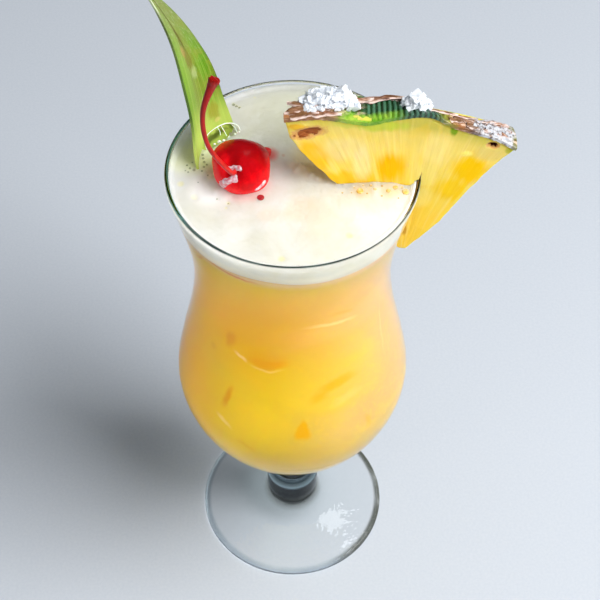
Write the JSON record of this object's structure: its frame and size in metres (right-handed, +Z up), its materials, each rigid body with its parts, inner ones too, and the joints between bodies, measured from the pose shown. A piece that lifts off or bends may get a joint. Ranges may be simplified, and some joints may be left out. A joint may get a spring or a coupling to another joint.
{
  "type": "tropical cocktail",
  "caption": "Creamy yellow tropical cocktail with a foam top in a tall short-stemmed curved glass, garnished with a cherry, a pineapple leaf and a pineapple wedge with coconut flakes.",
  "frame": {"origin": "centre of the underside of the glass's foot, on the surface that it stands on", "axes": "+Z up along the glass's axis, +X to the side where the pineapple wedge straddles the rim, +Y away from the drinker, so the wedge's front face looks along -Y"},
  "size_m": [0.1142, 0.0828, 0.2448],
  "materials": {
    "glass": "clear, polished",
    "drink": "opaque yellow juice behind glass",
    "foam": "moist cream-white foam with fine bubbles",
    "cherry": "wet, glossy, slightly translucent",
    "cherry_stem": "smooth, satin",
    "leaf": "waxy satin with fine length veins",
    "pineapple": "moist cut fruit with radial fibres",
    "rind": "rough green and brown scales",
    "coconut": "dry white flakes"
  },
  "bodies": {
    "root": {"glass": "glass", "drink": "drink", "foam": "foam", "cherry": "cherry", "cherry_stem": "cherry_stem", "pineapple_leaf": "leaf", "pineapple_wedge": "pineapple"}
  },
  "joints": []
}
